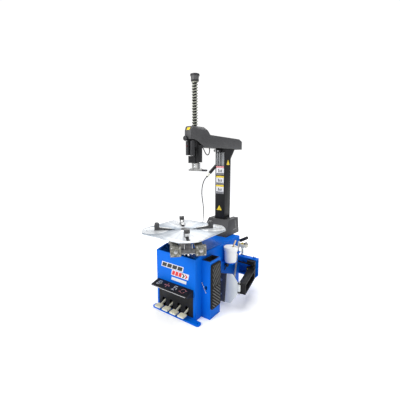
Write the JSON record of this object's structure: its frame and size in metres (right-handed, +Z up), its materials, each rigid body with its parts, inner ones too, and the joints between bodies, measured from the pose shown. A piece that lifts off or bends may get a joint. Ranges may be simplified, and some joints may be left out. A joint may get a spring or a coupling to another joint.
{
  "type": "tire changer machine",
  "caption": "Tilt-back column tyre changer with a self-centring turntable, sprung mounting shaft, pedal bank and side bead breaker arm.",
  "frame": {"origin": "on the floor, directly under the turntable's axis, at the underside of the floor plate", "axes": "+X to the operator's right, +Y from the pedals towards the column, +Z up, along the turntable's axis"},
  "size_m": [0.833, 1.298, 2.08],
  "materials": {
    "blue_paint": "semi-gloss powder coat",
    "black_paint": "satin powder coat",
    "black_plastic": "moulded, fine texture",
    "grey_plastic": "moulded, leather-grain texture",
    "pad_rubber": "moulded ribs",
    "hose_rubber": "smooth",
    "cast_alloy": "as cast, worn on the treads",
    "cast_iron": "painted casting",
    "brushed_plate": "turned face, concentric grain",
    "dark_steel": "oiled forging",
    "raw_aluminium": "cast and machined",
    "bright_steel": "ground and plated",
    "spring_steel": "oiled spring wire",
    "white_plastic": "polypropylene",
    "brush_wood": "plain beech",
    "clear_bowl": "clear polycarbonate",
    "blade_steel": "zinc-plated plate",
    "red_plastic": "moulded"
  },
  "bodies": {
    "cabinet": {"base_frame": "blue_paint", "cabinet_shell": "blue_paint", "left_side_cover": "blue_paint", "side_box": "blue_paint", "tool_tray": "black_plastic", "bead_pad": "pad_rubber", "pedal_cover": "black_paint", "sign_plate": "black_paint", "control_valves": "cast_alloy", "drive_motor": "black_paint", "gearbox": "cast_iron", "drive_belt": "pad_rubber", "column_bracket": "blue_paint", "base_cover": "grey_plastic", "air_cylinders": "raw_aluminium", "hinge_pins": "bright_steel", "hose_gland": "black_plastic", "inflator_hose": "hose_rubber", "frl_body": "cast_alloy", "frl_bowl": "clear_bowl", "tool_holders": "blue_paint", "breaker_bracket": "blue_paint"},
    "motor_shaft": {"motor_pulley": "cast_iron"},
    "worm_shaft": {"gearbox_pulley": "cast_iron"},
    "turntable": {"turntable_plate": "brushed_plate", "turntable_spindle": "dark_steel"},
    "cam": {"cam_plate": "dark_steel"},
    "jaw_front": {"jaw_front": "dark_steel", "clamp_cylinders": "raw_aluminium"},
    "jaw_rear": {"jaw_rear": "dark_steel", "clamp_rods": "bright_steel"},
    "jaw_left": {"jaw_left": "dark_steel"},
    "jaw_right": {"jaw_right": "dark_steel"},
    "column": {"column_tube": "black_paint", "inflator_gun": "black_plastic"},
    "tilt_rod": {"tilt_rod": "bright_steel"},
    "arm": {"arm_tube": "black_paint", "arm_cover": "grey_plastic", "control_grip": "black_plastic", "lock_cylinder": "black_plastic", "head_hose": "hose_rubber"},
    "grip_button": {"grip_button": "red_plastic"},
    "shaft": {"hex_shaft": "black_paint", "shaft_spring": "spring_steel", "shaft_cap": "black_plastic", "mount_head": "bright_steel", "head_tip": "black_plastic"},
    "breaker_arm": {"breaker_arm": "black_paint"},
    "breaker_rod": {"breaker_rod": "bright_steel"},
    "blade": {"breaker_blade": "blade_steel", "blade_guard": "black_plastic"},
    "bucket": {"bucket": "white_plastic", "bucket_lid": "white_plastic"},
    "paste_brush": {"paste_brush": "brush_wood"},
    "tyre_lever": {"tyre_lever": "bright_steel"},
    "frl_knob": {"frl_knob": "black_plastic"},
    "pedal_1": {"pedal_1": "cast_alloy"},
    "pedal_2": {"pedal_2": "cast_alloy"},
    "pedal_3": {"pedal_3": "cast_alloy"},
    "pedal_4": {"pedal_4": "cast_alloy"}
  },
  "joints": [
    {"name": "pedal_1_press", "type": "hinge", "parent": "cabinet", "child": "pedal_1", "pos_m": [-0.143, 0.01, 0.11], "axis": [1, 0, 0], "range_deg": [0, 6], "stiffness_Nm_per_rad": 25, "springref_deg": -6.88},
    {"name": "pedal_2_press", "type": "hinge", "parent": "cabinet", "child": "pedal_2", "pos_m": [-0.053, 0.01, 0.11], "axis": [1, 0, 0], "range_deg": [0, 6], "stiffness_Nm_per_rad": 25, "springref_deg": -6.88},
    {"name": "pedal_3_press", "type": "hinge", "parent": "cabinet", "child": "pedal_3", "pos_m": [0.037, 0.01, 0.11], "axis": [1, 0, 0], "range_deg": [0, 6], "stiffness_Nm_per_rad": 25, "springref_deg": -6.88},
    {"name": "pedal_4_press", "type": "hinge", "parent": "cabinet", "child": "pedal_4", "pos_m": [0.127, 0.01, 0.11], "axis": [1, 0, 0], "range_deg": [0, 6], "stiffness_Nm_per_rad": 25, "springref_deg": -6.88},
    {"name": "motor_spin", "type": "hinge", "parent": "cabinet", "child": "motor_shaft", "pos_m": [0, 0.3, 0.19], "axis": [1, 0, 0], "continuous": true},
    {"name": "worm_spin", "type": "hinge", "parent": "cabinet", "child": "worm_shaft", "pos_m": [0, 0.095, 0.46], "axis": [1, 0, 0], "continuous": true},
    {"name": "turntable_spin", "type": "hinge", "parent": "cabinet", "child": "turntable", "pos_m": [0, 0, 0.736], "axis": [0, 0, 1], "continuous": true},
    {"name": "cam_turn", "type": "hinge", "parent": "turntable", "child": "cam", "pos_m": [0, 0, 0.707], "axis": [0, 0, 1], "range_deg": [-37.5, 34.8]},
    {"name": "jaw_front_slide", "type": "slide", "parent": "turntable", "child": "jaw_front", "axis": [0.7071, -0.7071, 0], "range_m": [-0.07, 0.065]},
    {"name": "jaw_rear_slide", "type": "slide", "parent": "turntable", "child": "jaw_rear", "axis": [-0.7071, 0.7071, 0], "range_m": [-0.07, 0.065]},
    {"name": "jaw_left_slide", "type": "slide", "parent": "turntable", "child": "jaw_left", "axis": [-0.7071, -0.7071, 0], "range_m": [-0.07, 0.065]},
    {"name": "jaw_right_slide", "type": "slide", "parent": "turntable", "child": "jaw_right", "axis": [0.7071, 0.7071, 0], "range_m": [-0.07, 0.065]},
    {"name": "column_tilt", "type": "hinge", "parent": "cabinet", "child": "column", "pos_m": [0, 0.67, 0.64], "axis": [-1, 0, 0], "range_deg": [0, 22]},
    {"name": "tilt_rod_slide", "type": "slide", "parent": "cabinet", "child": "tilt_rod", "axis": [0, 0, -1], "range_m": [0, 0.0259]},
    {"name": "arm_slide", "type": "slide", "parent": "column", "child": "arm", "axis": [0, 1, 0], "range_m": [-0.045, 0.18]},
    {"name": "shaft_slide", "type": "slide", "parent": "arm", "child": "shaft", "axis": [0, 0, -1], "range_m": [0, 0.29], "stiffness_N_per_m": 250, "springref_m": -0.72, "deforming": ["shaft_spring"]},
    {"name": "grip_button_press", "type": "slide", "parent": "arm", "child": "grip_button", "axis": [0, 1, 0], "range_m": [0, 0.004], "stiffness_N_per_m": 600, "springref_m": -0.003},
    {"name": "breaker_swing", "type": "hinge", "parent": "cabinet", "child": "breaker_arm", "pos_m": [0.387, 0.64, 0.25], "axis": [0, 0, 1], "range_deg": [0, 40]},
    {"name": "breaker_rod_slide", "type": "slide", "parent": "cabinet", "child": "breaker_rod", "axis": [1, 0, 0], "range_m": [0, 0.0326]},
    {"name": "blade_pivot", "type": "hinge", "parent": "breaker_arm", "child": "blade", "pos_m": [0.438, 0.24, 0.204], "axis": [0, 0, 1], "range_deg": [-10, 10]},
    {"name": "bucket_lift", "type": "slide", "parent": "cabinet", "child": "bucket", "axis": [0, 0, 1], "range_m": [0, 0.15]},
    {"name": "brush_lift", "type": "slide", "parent": "bucket", "child": "paste_brush", "axis": [0.2373, 0.3844, 0.8922], "range_m": [0, 0.18]},
    {"name": "lever_lift", "type": "slide", "parent": "cabinet", "child": "tyre_lever", "axis": [0.1038, 0, 0.9946], "range_m": [0, 0.35]},
    {"name": "regulator_turn", "type": "hinge", "parent": "cabinet", "child": "frl_knob", "pos_m": [0.2575, 0.662, 0.5283], "axis": [0.8681, 0, 0.4964], "range_deg": [-150, 150]}
  ],
  "couplings": [
    {"joint": "worm_spin", "follows": "motor_spin", "ratio": 0.56452},
    {"joint": "cam_turn", "follows": "jaw_front_slide", "rad_per_m": 9.3084},
    {"joint": "jaw_rear_slide", "follows": "jaw_front_slide", "ratio": 1},
    {"joint": "jaw_left_slide", "follows": "jaw_front_slide", "ratio": 1},
    {"joint": "jaw_right_slide", "follows": "jaw_front_slide", "ratio": 1},
    {"joint": "tilt_rod_slide", "follows": "column_tilt", "m_per_rad": 0.0672},
    {"joint": "breaker_rod_slide", "follows": "breaker_swing", "m_per_rad": 0.0465}
  ]
}
